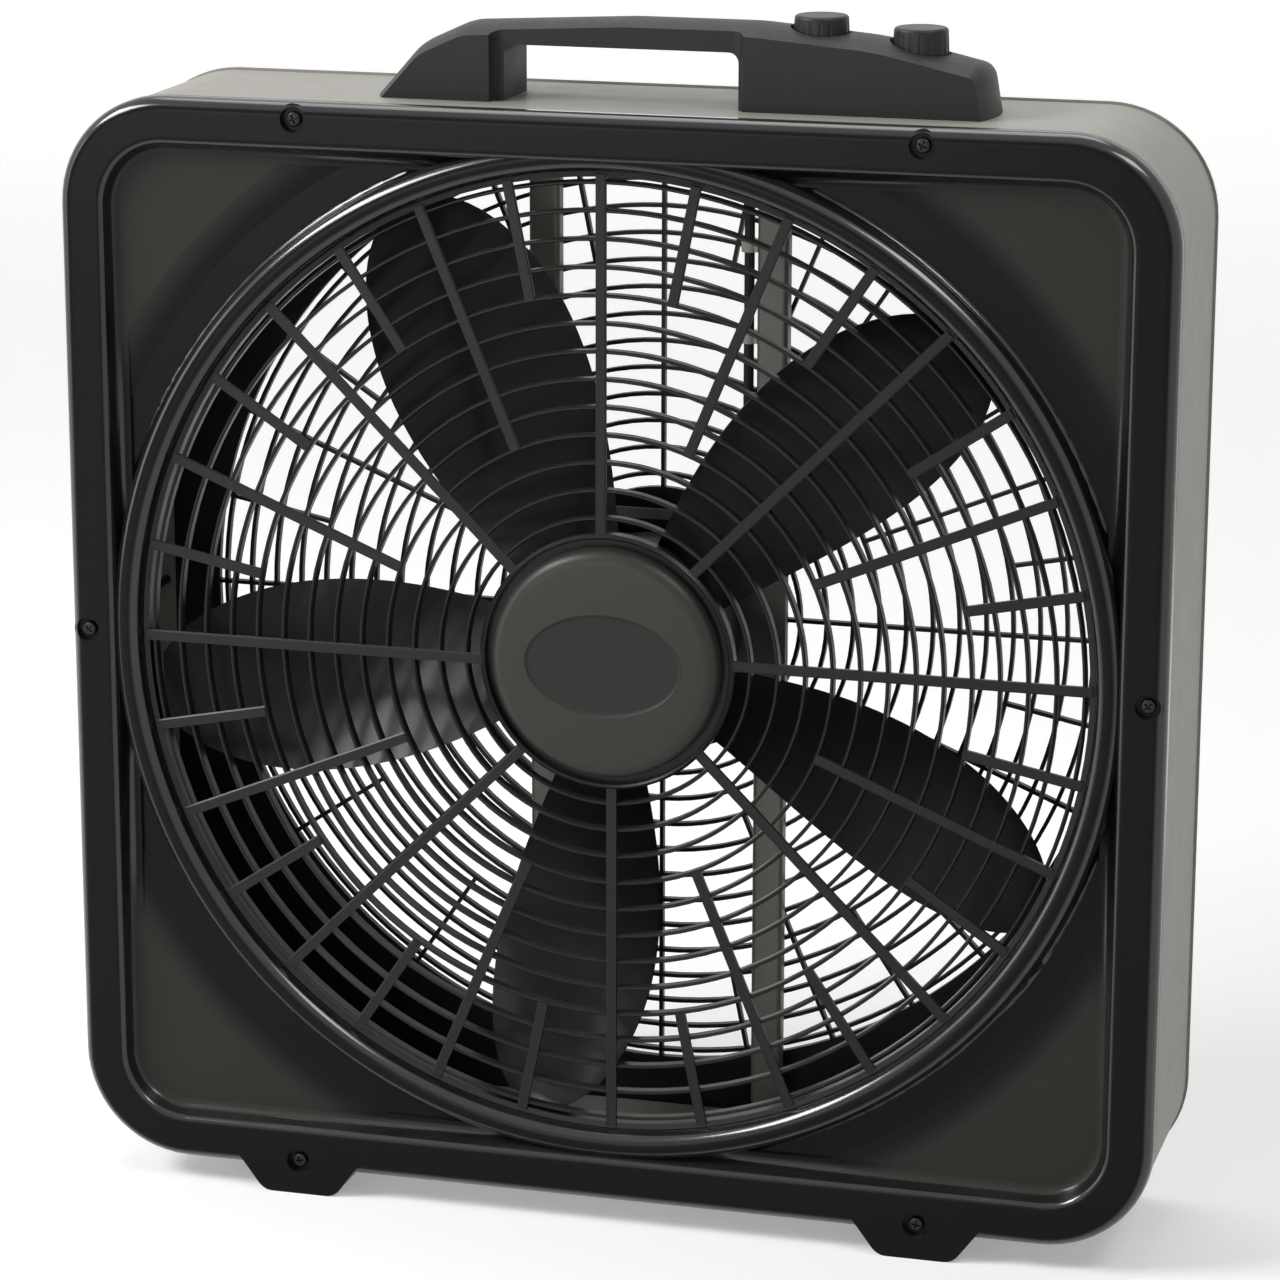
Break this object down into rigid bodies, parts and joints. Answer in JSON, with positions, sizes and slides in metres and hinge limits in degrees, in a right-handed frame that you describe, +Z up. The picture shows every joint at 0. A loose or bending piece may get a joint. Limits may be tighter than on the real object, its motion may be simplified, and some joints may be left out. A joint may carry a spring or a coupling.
{
  "type": "box fan",
  "caption": "Free-standing box fan: square steel housing, moulded front panel with ring grille, petal blades, top handle with two control knobs.",
  "frame": {"origin": "middle of the footprint, on the surface the feet stand on", "axes": "+Z up, the front grille faces -Y, +X to the right when the front is looked at"},
  "size_m": [0.527, 0.112, 0.5744],
  "materials": {
    "panel_plastic": "satin moulded plastic",
    "grille_plastic": "satin moulded plastic",
    "badge_plastic": "satin moulded plastic",
    "screw_black": "black finished steel",
    "housing_paint": "metallic greige satin paint",
    "rear_plastic": "satin moulded plastic",
    "handle_plastic": "fine matt moulded plastic",
    "zinc_steel": "zinc plated",
    "inlet_rubber": "matt",
    "knob_plastic": "satin moulded plastic",
    "switch_case": "matt phenolic",
    "capacitor_case": "matt",
    "strut_paint": "metallic greige satin paint",
    "motor_steel": "satin enamel on drawn steel",
    "lamination": "varnished laminations",
    "copper": "enamelled copper",
    "bush_bronze": "sintered bronze",
    "lead_pvc": "matt sheath",
    "clip_nylon": "natural nylon",
    "shaft_steel": "ground steel",
    "blade_plastic": "gloss moulded plastic"
  },
  "bodies": {
    "housing": {"front_panel": "panel_plastic", "front_grille": "grille_plastic", "centre_badge": "badge_plastic", "front_screws": "screw_black", "housing_band": "housing_paint", "rear_grille": "rear_plastic", "rear_screws": "screw_black", "handle": "handle_plastic", "handle_screws": "zinc_steel", "cord_inlet": "inlet_rubber", "speed_switch": "switch_case", "thermostat": "switch_case", "switch_nuts": "zinc_steel", "capacitor": "capacitor_case", "left_strut": "strut_paint", "right_strut": "strut_paint", "strut_screws": "zinc_steel", "motor_plate": "strut_paint", "plate_screws": "zinc_steel", "front_motor_bell": "motor_steel", "rear_motor_bell": "motor_steel", "stator_core": "lamination", "stator_windings": "copper", "front_bush": "bush_bronze", "rear_bush": "bush_bronze", "motor_bolts": "zinc_steel", "motor_nuts": "zinc_steel", "motor_lead": "lead_pvc", "lead_clips": "clip_nylon"},
    "fan": {"rotor_core": "lamination", "motor_shaft": "shaft_steel", "fan_blade": "blade_plastic", "blade_clip": "zinc_steel"},
    "speed_dial": {"speed_knob": "knob_plastic", "speed_shaft": "zinc_steel"},
    "thermostat_dial": {"thermostat_knob": "knob_plastic", "thermostat_shaft": "zinc_steel"}
  },
  "joints": [
    {"name": "fan_spin", "type": "hinge", "parent": "housing", "child": "fan", "pos_m": [0, 0, 0.2765], "axis": [0, 1, 0], "continuous": true},
    {"name": "speed_turn", "type": "hinge", "parent": "housing", "child": "speed_dial", "pos_m": [0.088, 0, 0.56], "axis": [0, 0, -1], "range_deg": [0, 135]},
    {"name": "thermostat_turn", "type": "hinge", "parent": "housing", "child": "thermostat_dial", "pos_m": [0.134, 0, 0.556], "axis": [0, 0, -1], "range_deg": [0, 270]}
  ]
}
